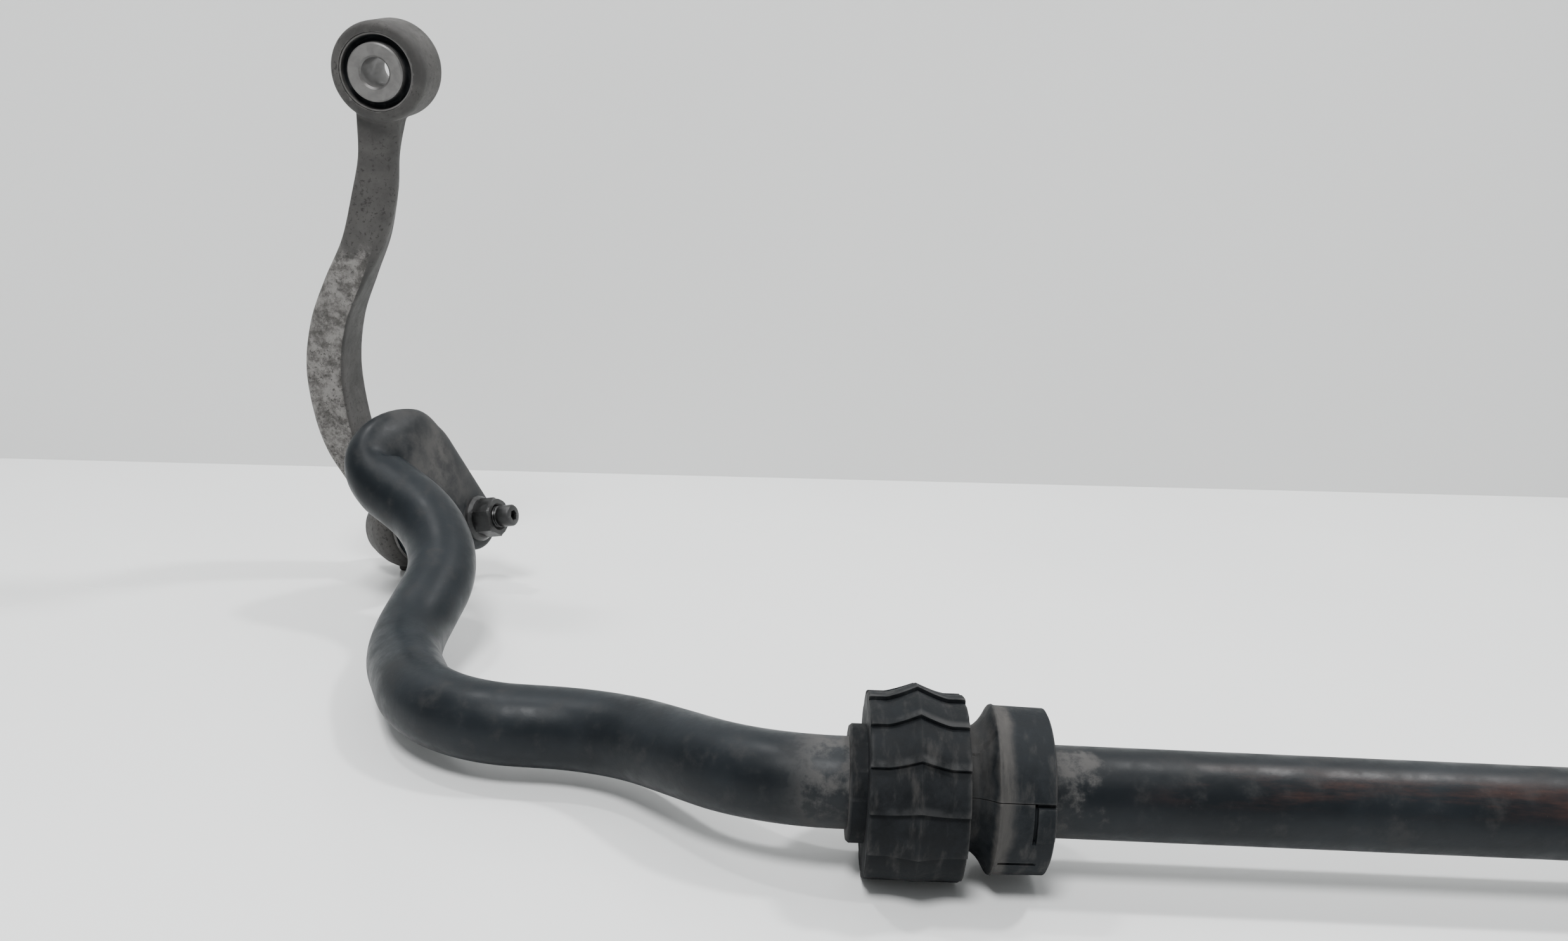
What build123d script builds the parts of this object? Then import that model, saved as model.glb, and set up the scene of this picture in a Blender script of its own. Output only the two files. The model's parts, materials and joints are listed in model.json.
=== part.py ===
"""Sway bar with bushes, stop rings and ball-jointed end links.

Frame: millimetres, +X to the right end, +Y from the bar towards the links, +Z up.
The origin is the middle of the footprint, at floor level. Every left piece is made
in place, and the right one is its mirror image in the plane X = 0.
"""
from build123d import *
from math import copysign, cos, pi, radians, sin, sqrt
import os

os.makedirs("parts", exist_ok=True)

# ---- bar ------------------------------------------------------------------
BAR_R = 16.0                       # radius of the round bar
AXIS = Vector(0, -143.0, 31.8)     # middle of the straight length
# Corners of the left arm, from the straight length back to the paddle, measured
# from the bar's middle (x, y) and from the floor (z), and the bend radii.
ARM = [(-354, 0, 31.8), (-413, 56, 20.5), (-486, 56, 22), (-517, 127, 19.5), (-507, 201, 47)]
ARM_RADII = [69, 66, 55, 62, 60]
HUMP = (-565, 233, 76.5)             # corner where the tube starts to turn down
TUBE_RUN = 42.0                    # straight run of round tube before the hump
PADDLE_T = 12.5                    # thickness of the flattened end
PADDLE_NECK_R = 23.5               # half width where the paddle leaves the tube
PADDLE_TIP_R = 17.0                # half width round the stud hole
PADDLE_L = 48.0                    # flat length from the neck to the stud hole
STUD_HOLE_R = 6.25
SPOT_FACE_R = 14.5
SPOT_FACE_H = 3.0                  # height cleared over each spot face
CROWN_RUN = 14.0                   # from the crown of the hump to the flat
PADDLE_DROP = 45.0                 # the paddle runs this far below level

# ---- ball joint -----------------------------------------------------------
BALL = Vector(-562, 294, 26) + Vector(0, AXIS.Y, 0)
STUD_TOE = 20.0                    # the stud points inboard, turned forward by this
STUD_RISE = 13.0                   # and upward by this
BALL_R = 9.0
NECK_R = 6.0
SHANK_R = 8.0
COLLAR_R = 11.5
THREAD_R = 5.95
SEAT_FACE = 38.0                   # ball centre to the paddle, along the stud
STUD_END = 73.0
KEY_R = 2.9                        # hexagon socket in the end of the stud
KEY_DEPTH = 5.0
HOUSING_R = 24.0
POCKET_R = 12.5
SEAT_GAP = 0.04
NUT_FLANGE_R = 12.5
NUT_AF = 19.0
NUT_H = 13.0
NUT_FLANGE_H = 1.6

# ---- link -----------------------------------------------------------------
EYE = Vector(-554.5, 262, 271.2) + Vector(0, AXIS.Y, 0)
EYE_TOE = 6.0                      # the eye's bore is turned this far off fore-and-aft
EYE_R = 24.0
EYE_W = 28.0
SHELL_R = 18.8
SHELL_T = 1.2
SLEEVE_R = 14.0
SLEEVE_W = 31.0
BOLT_R = 7.1                       # clearance bore for an M14 bolt
FIT = 0.02                         # gap left between pressed pieces
RUN = 0.05                         # running clearance of a turning piece
# Sections of the arm: height over the ball, sideways offset, width, depth, turn.
ARM_SECTIONS = [
    (12, -8, 18, 25, 0), (30, -17.5, 20, 28, 0), (46, -27, 20.5, 28, 0), (66, -32.7, 21, 29, 0),
    (92, -35.4, 21.3, 29, 0), (118, -31.7, 21, 28, 0), (141, -23.3, 22, 27, -4),
    (163, -14, 22.6, 23, -12), (187, -8.4, 22.5, 19, -20), (207, -5.4, 19.5, 17, -16),
    (228, -3, 22, 20, 0),
]

# ---- bush and stop ring ---------------------------------------------------
BUSH_X = -300.4                    # middle of the bush body
BUSH_W = 33.5
BUSH_END_R = 32.5
BUSH_RIDGE_R = 36.0
BUSH_COLLAR_R = 20.5
BUSH_COLLAR_W = 6.0
BUSH_SLIT = 1.2
RING_R = 29.2
RING_W = 19.0
RING_CONE_W = 9.5
RING_NECK_R = 21.0
PARTING_GAP = 0.3                  # between the two halves
RING_X = BUSH_X + BUSH_W / 2 + 0.5  # outboard end of the cone
PARTING = 18.0                     # the two halves part this far above the front

toe, rise = radians(STUD_TOE), radians(STUD_RISE)
STUD_DIR = Vector(cos(rise) * cos(toe), -cos(rise) * sin(toe), sin(rise))
STUD_AXIS = Axis(BALL, STUD_DIR)
LEVEL_DIR = Vector(0, 0, 1).cross(STUD_DIR).normalized()
STUD_UP = STUD_DIR.cross(LEVEL_DIR)
# Profiles of turned pieces of the ball joint: x along the stud, y outward.
STUD_PROFILE = Plane(origin=BALL, x_dir=STUD_DIR, z_dir=LEVEL_DIR)

LINK_UP = (EYE - BALL).normalized()
eye_level = Vector(sin(radians(EYE_TOE)), cos(radians(EYE_TOE)), 0)
LINK_FORE = (eye_level - LINK_UP * eye_level.dot(LINK_UP)).normalized()
LINK_SIDE = LINK_FORE.cross(LINK_UP)
EYE_PLANE = Plane(origin=EYE, x_dir=LINK_SIDE, z_dir=LINK_FORE)

BAR_AXIS = Axis(AXIS, (1, 0, 0))
BAR_PROFILE = Plane(origin=AXIS, x_dir=(1, 0, 0), z_dir=(0, -1, 0))
HOLE = BALL + STUD_DIR * (SEAT_FACE + PADDLE_T / 2)


def write_pair(piece, name):
    """Write a left piece and its mirror image, each as a node of its own."""
    with BuildPart() as left:
        add(piece)
    left.part.label = f"left_{name}"
    export_step(left.part, f"parts/left_{name}.step")
    with BuildPart() as right:
        mirror(piece, about=Plane.YZ)
    right.part.label = f"right_{name}"
    export_step(right.part, f"parts/right_{name}.step")


def turned(points, plane, axis):
    """Turn a closed outline round an axis."""
    with BuildPart() as body:
        with BuildSketch(plane):
            with BuildLine():
                Polyline(*points, close=True)
            make_face()
        revolve(axis=axis)
    return body.part


def outline(half_width, half_thick, power):
    """Points round a section: an ellipse at power 2, nearly a flat bar at power 4."""
    points = []
    for step in range(24):
        across, up = cos(pi * step / 12), sin(pi * step / 12)
        points.append((
            half_width * copysign(abs(across) ** (2 / power), across),
            half_thick * copysign(abs(up) ** (2 / power), up),
        ))
    return points


def section(place, along, across, half_width, half_thick, power):
    """A closed face of the bar at one station of its route."""
    with BuildSketch(Plane(origin=place, x_dir=across, z_dir=along)) as face:
        if half_width == half_thick:
            Circle(half_width)
        else:
            with BuildLine():
                Spline(*outline(half_width, half_thick, power), periodic=True)
            make_face()
    return face.sketch


def carried(across, before, after):
    """Carry a section's width direction from one heading to the next without twist."""
    turn = across.dot(after) / (1 + before.dot(after))
    return (across - (before + after) * turn).normalized()


# ---- the bar --------------------------------------------------------------
corners = [AXIS] + [Vector(x, y + AXIS.Y, z) for x, y, z in ARM]
hump = Vector(HUMP[0], HUMP[1] + AXIS.Y, HUMP[2])
arm_in = (hump - corners[-1]).normalized()
tube_end = corners[-1] + arm_in * TUBE_RUN
drop = radians(PADDLE_DROP)
paddle_in = LEVEL_DIR * cos(drop) - STUD_UP * sin(drop)
flat_start = HOLE - paddle_in * PADDLE_L
crown = flat_start - paddle_in * CROWN_RUN
over = (crown - hump).normalized()
# Stations of the forged end: place, heading, half width, half thickness, squareness.
FORGING = [
    (tube_end, arm_in, BAR_R, BAR_R, 2),
    (tube_end + arm_in * 14, arm_in, 16.6, 15.6, 2),
    (hump + over * 5 - arm_in * 6, (arm_in + over).normalized(), 20.5, 12.5, 2.1),
    (crown, (over * 0.6 + paddle_in).normalized(), 24.5, 8.6, 2.6),
    (flat_start, paddle_in, PADDLE_NECK_R, PADDLE_T / 2, 4),
]
widths = [STUD_DIR.cross(paddle_in).normalized()]
for nearer, further in zip(FORGING[-2::-1], FORGING[:0:-1]):
    widths.insert(0, carried(widths[0], further[1], nearer[1]))

with BuildLine() as tube_path:
    FilletPolyline(*corners, tube_end, radius=ARM_RADII)

with BuildPart() as tube:
    with BuildSketch(Plane(origin=AXIS, x_dir=(0, 1, 0), z_dir=(-1, 0, 0))):
        Circle(BAR_R)
    sweep(path=tube_path.wire())

with BuildPart() as forged_end:
    faces = []
    for (place, along, half_width, half_thick, power), across in zip(FORGING, widths):
        faces.append(section(place, along, across, half_width, half_thick, power))
    loft(faces)

with BuildPart() as paddle:
    flat_face = section(flat_start, paddle_in, widths[-1], PADDLE_NECK_R, PADDLE_T / 2, 4)
    extrude(flat_face, amount=PADDLE_L + PADDLE_TIP_R + 1, dir=paddle_in)
    with BuildSketch(Plane(origin=HOLE - STUD_DIR * PADDLE_T, x_dir=paddle_in, z_dir=STUD_DIR)):
        Circle(PADDLE_TIP_R)
        with Locations((-PADDLE_L - 10, 0)):
            Circle(PADDLE_NECK_R + 2)
        make_hull()
    extrude(amount=2 * PADDLE_T, mode=Mode.INTERSECT)

with BuildPart() as bar:
    add(tube.part)
    add(forged_end.part)
    add(paddle.part)
    with BuildSketch(Plane(origin=HOLE - STUD_DIR * PADDLE_T, x_dir=paddle_in, z_dir=STUD_DIR)):
        Circle(STUD_HOLE_R)
    extrude(amount=2 * PADDLE_T, mode=Mode.SUBTRACT)
    # Spot faces for the stud's collar and for the nut.
    for side in (-1, 1):
        with BuildSketch(Plane(origin=HOLE + STUD_DIR * side * PADDLE_T / 2, z_dir=STUD_DIR * side)):
            Circle(SPOT_FACE_R)
        extrude(amount=SPOT_FACE_H, mode=Mode.SUBTRACT)
    mirror(about=Plane.YZ)
bar.part.label = "bar"
export_step(bar.part, "parts/bar.step")

# ---- bush: a split rubber collar with a crowned body ------------------------
half_bush = BUSH_W / 2
with BuildPart() as bush:
    with BuildSketch(BAR_PROFILE):
        with BuildLine():
            Polyline(
                (BUSH_X - half_bush - BUSH_COLLAR_W, BAR_R + RUN),
                (BUSH_X - half_bush - BUSH_COLLAR_W, BUSH_COLLAR_R),
                (BUSH_X - half_bush, BUSH_COLLAR_R),
                (BUSH_X - half_bush, BUSH_END_R),
                (BUSH_X - half_bush + 6, BUSH_END_R),
                (BUSH_X, BUSH_RIDGE_R),
                (BUSH_X + half_bush - 6, BUSH_END_R),
                (BUSH_X + half_bush, BUSH_END_R),
                (BUSH_X + half_bush, BAR_R + RUN),
                close=True,
            )
        make_face()
    revolve(axis=BAR_AXIS)
    # The slit that lets it open over the bar, at the back.
    with BuildSketch(Plane(origin=(BUSH_X, AXIS.Y, AXIS.Z), x_dir=(1, 0, 0), z_dir=(0, 1, 0))):
        Rectangle(2 * BUSH_W, BUSH_SLIT)
    extrude(amount=BUSH_RIDGE_R + 1, mode=Mode.SUBTRACT)
    # The flat that it stands on.
    split(bisect_by=Plane.XY, keep=Keep.TOP)
write_pair(bush.part, "bush")

# ---- stop ring: two halves, coned towards the bush --------------------------
parting = Plane(
    origin=AXIS,
    x_dir=(1, 0, 0),
    z_dir=(0, sin(radians(PARTING)), cos(radians(PARTING))),
)
ring_points = [
    (RING_X, BAR_R + RUN), (RING_X, RING_NECK_R), (RING_X + 4, RING_NECK_R + 1),
    (RING_X + 7.5, RING_NECK_R + 4), (RING_X + RING_CONE_W, RING_R - 0.8),
    (RING_X + RING_CONE_W + 1, RING_R), (RING_X + RING_CONE_W + RING_W - 1, RING_R - 0.4),
    (RING_X + RING_CONE_W + RING_W, RING_R - 1.4),
    (RING_X + RING_CONE_W + RING_W, BAR_R + RUN),
]
with BuildPart() as ring:
    with BuildSketch(BAR_PROFILE):
        with BuildLine():
            Polyline(*ring_points, close=True)
        make_face()
    revolve(axis=BAR_AXIS)
with BuildPart() as ring_upper:
    add(ring.part)
    split(bisect_by=parting.offset(PARTING_GAP / 2), keep=Keep.TOP)
with BuildPart() as ring_lower:
    add(ring.part)
    split(bisect_by=parting.offset(-PARTING_GAP / 2), keep=Keep.BOTTOM)
    # Latch tab on the free end of the lower half.
    with BuildSketch(parting.offset(-8)):
        with Locations((RING_X + RING_CONE_W + RING_W + 1.4, -(BAR_R + 10))):
            Rectangle(3.2, 4)
    extrude(amount=7)
write_pair(ring_upper.part, "stop_ring_upper")
write_pair(ring_lower.part, "stop_ring_lower")

# ---- link body: eye, curved arm and ball housing ----------------------------
with BuildPart() as arm:
    faces = []
    for height, side, width, depth, turn in ARM_SECTIONS:
        middle = BALL + LINK_UP * height + LINK_SIDE * side
        beside = LINK_SIDE * cos(radians(turn)) - LINK_FORE * sin(radians(turn))
        with BuildSketch(Plane(origin=middle, x_dir=beside, z_dir=LINK_UP)) as cut:
            RectangleRounded(width, depth, width * 0.3)
        faces.append(cut.sketch)
    loft(faces)

housing = turned([
    (-16, 0), (-16, 16), (-14, 19), (-10, 22), (-5, 23.6), (0, HOUSING_R), (5, 23),
    (7.5, 20.8), (7.5, 18.5), (11.5, 18.5), (11.5, 0),
], STUD_PROFILE, STUD_AXIS)
pocket = turned([
    (-17, 0), (-17, 14), (-13.5, 14), (-13.5, POCKET_R), (8, POCKET_R), (8, 10.5),
    (12, 10.5), (12, 0),
], STUD_PROFILE, STUD_AXIS)

with BuildPart() as link_body:
    add(arm.part)
    add(housing)
    # The small foot under the housing that the link stands on.
    with BuildSketch(Plane(origin=(BALL.X, BALL.Y, 0))):
        Circle(3)
    extrude(amount=8)
    with BuildSketch(EYE_PLANE.offset(-EYE_W / 2)):
        Circle(EYE_R)
    extrude(amount=EYE_W)
    with BuildSketch(EYE_PLANE.offset(-EYE_W)):
        Circle(SHELL_R)
    extrude(amount=2 * EYE_W, mode=Mode.SUBTRACT)
    add(pocket, mode=Mode.SUBTRACT)
write_pair(link_body.part, "link_body")

# ---- eye bush: outer shell, rubber and inner sleeve -------------------------
EYE_LAYERS = {
    "eye_shell": (SHELL_R - SHELL_T, SHELL_R - FIT, EYE_W - 1),
    "eye_rubber": (SLEEVE_R + RUN, SHELL_R - SHELL_T - FIT, EYE_W - 3),
    "eye_sleeve": (BOLT_R, SLEEVE_R, SLEEVE_W),
}
for name, (inner, outer, width) in EYE_LAYERS.items():
    with BuildPart() as layer:
        with BuildSketch(EYE_PLANE.offset(-width / 2)):
            Circle(outer)
            Circle(inner, mode=Mode.SUBTRACT)
        extrude(amount=width)
    write_pair(layer.part, name)

# ---- ball joint -------------------------------------------------------------
with BuildPart() as stud:
    with BuildSketch(STUD_PROFILE):
        with BuildLine():
            neck_start = (sqrt(BALL_R ** 2 - NECK_R ** 2), NECK_R)
            ThreePointArc((-BALL_R, 0), (0, BALL_R), neck_start)
            Polyline(
                neck_start, (14, NECK_R), (22, SHANK_R), (34, SHANK_R), (34, COLLAR_R),
                (SEAT_FACE, COLLAR_R), (SEAT_FACE, THREAD_R), (STUD_END - 1.5, THREAD_R),
                (STUD_END, THREAD_R - 1.5), (STUD_END, 0), (-BALL_R, 0),
            )
        make_face()
    revolve(axis=STUD_AXIS)
    with BuildSketch(Plane(origin=BALL + STUD_DIR * STUD_END, x_dir=LEVEL_DIR, z_dir=STUD_DIR)):
        RegularPolygon(KEY_R, 6)
    extrude(amount=-KEY_DEPTH, mode=Mode.SUBTRACT)
write_pair(stud.part, "ball_stud")

cup_r = BALL_R + SEAT_GAP
cup_mouth = (4.5, sqrt(cup_r ** 2 - 4.5 ** 2))
with BuildPart() as seat:
    with BuildSketch(STUD_PROFILE):
        with BuildLine():
            ThreePointArc((-cup_r, 0), (0, cup_r), cup_mouth)
            Polyline(
                cup_mouth, (8 - FIT, 10.4), (8 - FIT, POCKET_R - FIT), (-12.2, POCKET_R - FIT),
                (-12.2, 0), (-cup_r, 0),
            )
        make_face()
    revolve(axis=STUD_AXIS)
write_pair(seat.part, "ball_seat")

cap = turned([(-15.4, 0), (-15.4, 13.9), (-13.6, 13.9), (-13.6, 0)], STUD_PROFILE, STUD_AXIS)
write_pair(cap, "housing_cap")

boot = turned([
    (7.7, 18.6), (7.7, 20.2), (10.8, 20.2), (13, 20.4), (17, 19.6), (20, 17), (22.5, 14.2),
    (25, 12.6), (27, 9.7), (31, 9.7), (33.5, 11), (33.5, 8.1), (26, 8.1), (23.5, 11),
    (21.3, 12.8), (18.8, 15.6),
    (16.2, 18), (13, 18.8), (11.6, 18.6),
], STUD_PROFILE, STUD_AXIS)
write_pair(boot, "dust_boot")
boot_ring_large = turned([(8.2, 20.25), (8.2, 21.2), (10.2, 21.2), (10.2, 20.25)], STUD_PROFILE, STUD_AXIS)
write_pair(boot_ring_large, "boot_ring_large")
boot_ring_small = turned([(28, 9.75), (28, 10.7), (30, 10.7), (30, 9.75)], STUD_PROFILE, STUD_AXIS)
write_pair(boot_ring_small, "boot_ring_small")

nut_face = SEAT_FACE + PADDLE_T
with BuildPart() as nut:
    add(turned([
        (nut_face, THREAD_R + FIT), (nut_face, NUT_FLANGE_R), (nut_face + NUT_FLANGE_H, NUT_FLANGE_R),
        (nut_face + 2 * NUT_FLANGE_H, NUT_AF / 2), (nut_face + 2 * NUT_FLANGE_H, THREAD_R + FIT),
    ], STUD_PROFILE, STUD_AXIS))
    with BuildSketch(Plane(origin=BALL + STUD_DIR * (nut_face + 1), x_dir=LEVEL_DIR, z_dir=STUD_DIR)):
        RegularPolygon(NUT_AF / 2, 6, major_radius=False)
        Circle(THREAD_R + FIT, mode=Mode.SUBTRACT)
    extrude(amount=NUT_H - 1)
write_pair(nut.part, "lock_nut")
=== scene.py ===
"""Looks of the sway bar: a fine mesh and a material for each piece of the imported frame.

Shapes are worked out in millimetres in the part's frame (+X to the right end, +Y from the
bar towards the links, +Z up) and turned into metres when a mesh is made. Left pieces are
made in place, and the right ones are their mirror images in the plane X = 0.
"""
import json
from math import asin, atan2, ceil, copysign, cos, degrees, pi, radians, sin, sqrt, tan

import bmesh
import bpy
from mathutils import Matrix, Vector, noise


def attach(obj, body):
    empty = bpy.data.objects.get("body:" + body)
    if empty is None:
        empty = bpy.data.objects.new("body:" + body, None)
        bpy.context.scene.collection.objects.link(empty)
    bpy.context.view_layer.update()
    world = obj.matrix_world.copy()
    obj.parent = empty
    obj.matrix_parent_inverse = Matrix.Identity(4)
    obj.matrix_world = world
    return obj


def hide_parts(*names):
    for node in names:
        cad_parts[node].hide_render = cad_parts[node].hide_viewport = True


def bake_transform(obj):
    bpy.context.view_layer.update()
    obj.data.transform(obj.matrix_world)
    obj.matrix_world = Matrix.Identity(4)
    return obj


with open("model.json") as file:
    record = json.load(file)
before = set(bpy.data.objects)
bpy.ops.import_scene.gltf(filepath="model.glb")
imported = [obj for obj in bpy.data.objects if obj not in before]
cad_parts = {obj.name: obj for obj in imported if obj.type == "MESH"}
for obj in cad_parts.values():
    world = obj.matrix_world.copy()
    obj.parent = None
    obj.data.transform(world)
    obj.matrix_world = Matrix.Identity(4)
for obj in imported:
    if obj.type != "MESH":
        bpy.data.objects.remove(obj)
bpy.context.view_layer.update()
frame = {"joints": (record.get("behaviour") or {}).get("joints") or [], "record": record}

MM = 0.001

# ---- places read from the frame -------------------------------------------------
record = frame["record"]
JOINTS = {joint["name"]: joint for joint in frame["joints"]}
BODY_OF = {node: body for body, nodes in record["behaviour"]["bodies"].items() for node in nodes}


def place_of(joint):
    return Vector(JOINTS[joint]["pos_m"]) / MM


def axis_of(joint):
    return Vector(JOINTS[joint]["axis"]).normalized()


BALL = place_of("left_link_swing")
EYE = place_of("left_eye_twist")
BUSH = place_of("left_bush_turn")
STUD_DIR = axis_of("left_link_swing")      # from the ball to the nut
LEVEL_DIR = axis_of("left_link_tilt")
STUD_UP = STUD_DIR.cross(LEVEL_DIR)
LINK_FORE = axis_of("left_eye_twist")      # along the eye's bore, to the back
LINK_UP = (EYE - BALL).normalized()
LINK_SIDE = LINK_FORE.cross(LINK_UP)       # to the inboard side

# ---- driving sizes --------------------------------------------------------------
# They are the CAD model's, but the paddle and its crown are wider here and the ball
# housing is slimmer on its outboard side. The thread, the bush's plates and the ring's
# latch slot and groove are only here.
BAR_R = 16.0
ARM = [(-354, 0, 31.8), (-413, 56, 20.5), (-486, 56, 22), (-517, 127, 19.5), (-507, 201, 47)]
ARM_RADII = [69, 66, 55, 62, 60]
HUMP = (-565, 233, 76.5)
TUBE_RUN = 42.0
PADDLE_T = 12.5
PADDLE_NECK_R = 29.5                       # half width at its widest
PADDLE_DISC = 46.0                         # from the stud hole to the middle of the wide round part
PADDLE_TIP_R = 17.0
PADDLE_L = 48.0
CROWN_RUN = 14.0
PADDLE_DROP = radians(45)
PADDLE_TIP_THIN = 0.22                     # how much of its thickness the tip's rim loses
TIP_DUST = 0.25                            # dust round the stud hole, against 1 at the neck
STUD_HOLE_R = 6.25
SPOT_FACE_R = 14.5
SPOT_FACE_H = 3.0                          # height of the tool that cuts it
SEAT_FACE = 38.0
STUD_END = 73.0
STUD_NECK_R = 6.0
NUT_H = 13.0
NUT_AF = 19.0
NUT_FLANGE_R = 12.5
THREAD_R = 5.95
THREAD_PITCH = 1.5
THREAD_DEPTH = 0.45
THREAD_END = 65.0                          # the thread stops here, and the end is plain
KEY_R = 2.9
KEY_DEPTH = 5.0
BALL_R = 9.0
HOUSING_R = 24.0
POCKET_R = 12.5
EYE_R = 24.0
EYE_W = 28.0
SHELL_R = 18.8
SHELL_T = 1.2
SLEEVE_R = 14.0
SLEEVE_W = 31.0
BOLT_R = 7.1
BUSH_W = 33.5
BUSH_END_R = 32.5
BUSH_RIDGE_R = 36.0
BUSH_COLLAR_R = 20.5
BUSH_COLLAR_W = 6.0
BUSH_RIBS = 13
BUSH_FIRST_STEP = 92.0                     # world angle of the top step's edge, in degrees
RIB_STEP = 1.4
RIB_RISE = radians(3.0)                    # how far a plate's edge climbs to the middle ridge
RING_X = BUSH.x + BUSH_W / 2 + 0.5
RING_PARTING = 18.0                        # world angle where its two halves part, in degrees
RING_RIM = 9.5                             # from the ring's outboard end to its rim
RUN = 0.05                                 # running clearance of a turning piece
LINK_VOXEL = 0.75                          # grain of the mesh that joins the link's parts
BOOT_BENDS_FROM, BOOT_BENDS_TO = 25, 11    # along the stud, from the small end to the large


# ---- mesh helpers ---------------------------------------------------------------
def new_object(name, points, faces):
    """An object from points in millimetres."""
    mesh = bpy.data.meshes.new(name)
    mesh.from_pydata([point * MM for point in points], [], faces)
    mesh.update()
    made = bpy.data.objects.new(name, mesh)
    bpy.context.scene.collection.objects.link(made)
    return made


def shade(obj, angle):
    """Smooth shading, but for edges sharper than an angle in degrees."""
    obj.data.polygons.foreach_set("use_smooth", [True] * len(obj.data.polygons))
    obj.data.set_sharp_from_angle(angle=radians(angle))


def settle(obj):
    """Turn an object's modifiers into its mesh."""
    depsgraph = bpy.context.evaluated_depsgraph_get()
    obj.data = bpy.data.meshes.new_from_object(obj.evaluated_get(depsgraph))
    obj.modifiers.clear()


def cut(obj, tool):
    """Take a tool's shape away from an object, and the tool out of the scene."""
    change = obj.modifiers.new("cut", "BOOLEAN")
    change.operation = "DIFFERENCE"
    change.solver = "EXACT"
    change.object = tool
    settle(obj)
    bpy.data.objects.remove(tool)


def note_places(obj, find):
    """Store three numbers that a material needs at each point, from the point and normal."""
    values = []
    for vertex in obj.data.vertices:
        values.extend(find(vertex.co / MM, vertex.normal))
    layer = obj.data.attributes.new("place", "FLOAT_VECTOR", "POINT")
    layer.data.foreach_set("vector", values)


def skin(rings, close_start=True, close_end=True, closed=True):
    """Points and faces through rings that have the same number of points."""
    count = len(rings[0])
    points = [point for ring in rings for point in ring]
    faces = []
    for row in range(len(rings) - 1):
        for step in range(count if closed else count - 1):
            here, beside = row * count + step, row * count + (step + 1) % count
            faces.append((here, beside, beside + count, here + count))
    if close_start:
        faces.append(tuple(reversed(range(count))))
    if close_end:
        faces.append(tuple(range(len(points) - count, len(points))))
    return points, faces


def turned(name, profile, origin, axis, side, steps=96, shape=None):
    """Turn a closed outline of (along, radius) round an axis, as a ring with no ends.

    shape(along, radius, angle) may change the radius.
    """
    up = axis.cross(side)
    rings = []
    for step in range(steps):
        angle = 2 * pi * step / steps
        outward = side * cos(angle) + up * sin(angle)
        ring = []
        for along, radius in profile:
            size = shape(along, radius, angle) if shape else radius
            ring.append(origin + axis * along + outward * size)
        rings.append(ring)
    rings.append(rings[0])
    points, faces = skin(rings, False, False)
    made = new_object(name, points, faces)
    weld(made)
    return made


def weld(obj):
    """Join points that lie together, so that the mesh is closed."""
    made = bmesh.new()
    made.from_mesh(obj.data)
    bmesh.ops.remove_doubles(made, verts=made.verts, dist=0.00002)
    bmesh.ops.recalc_face_normals(made, faces=made.faces)
    made.to_mesh(obj.data)
    made.free()


def rod(name, start, axis, side, radius, length, steps=96):
    """A plain round tool for cutting."""
    up = axis.cross(side)
    rings = []
    for along in (0, length):
        rings.append([
            start + axis * along
            + (side * cos(2 * pi * i / steps) + up * sin(2 * pi * i / steps)) * radius
            for i in range(steps)
        ])
    made = new_object(name, *skin(rings))
    weld(made)
    return made


def dress(obj, node, material, blended=None):
    """This mesh stands for a CAD node and takes its slot. It rides on its body, but a blended one is
    only left in the scene, unattached, with its transform applied.
    """
    obj.name = f"{node}_fine"
    obj.data.materials.clear()
    obj.data.materials.append(material)
    if blended:
        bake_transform(obj)
    else:
        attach(obj, BODY_OF[node])
    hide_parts(node)


def dress_pair(obj, name, material, blend_points=None):
    """Dress a left piece, and its mirror image as the right one."""
    mesh = obj.data.copy()
    mesh.transform(Matrix.Scale(-1, 4, (1, 0, 0)))
    mesh.flip_normals()
    twin = bpy.data.objects.new("twin", mesh)
    bpy.context.scene.collection.objects.link(twin)
    for side, piece, flip in (("left", obj, 1), ("right", twin, -1)):
        blended = None
        if blend_points:
            ends = [Vector((point.x * flip, point.y, point.z)) * MM for point in blend_points]
            blended = (f"{side}_boot", f"{side}_link", *ends)
        dress(piece, f"{side}_{name}", material, blended)


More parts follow.
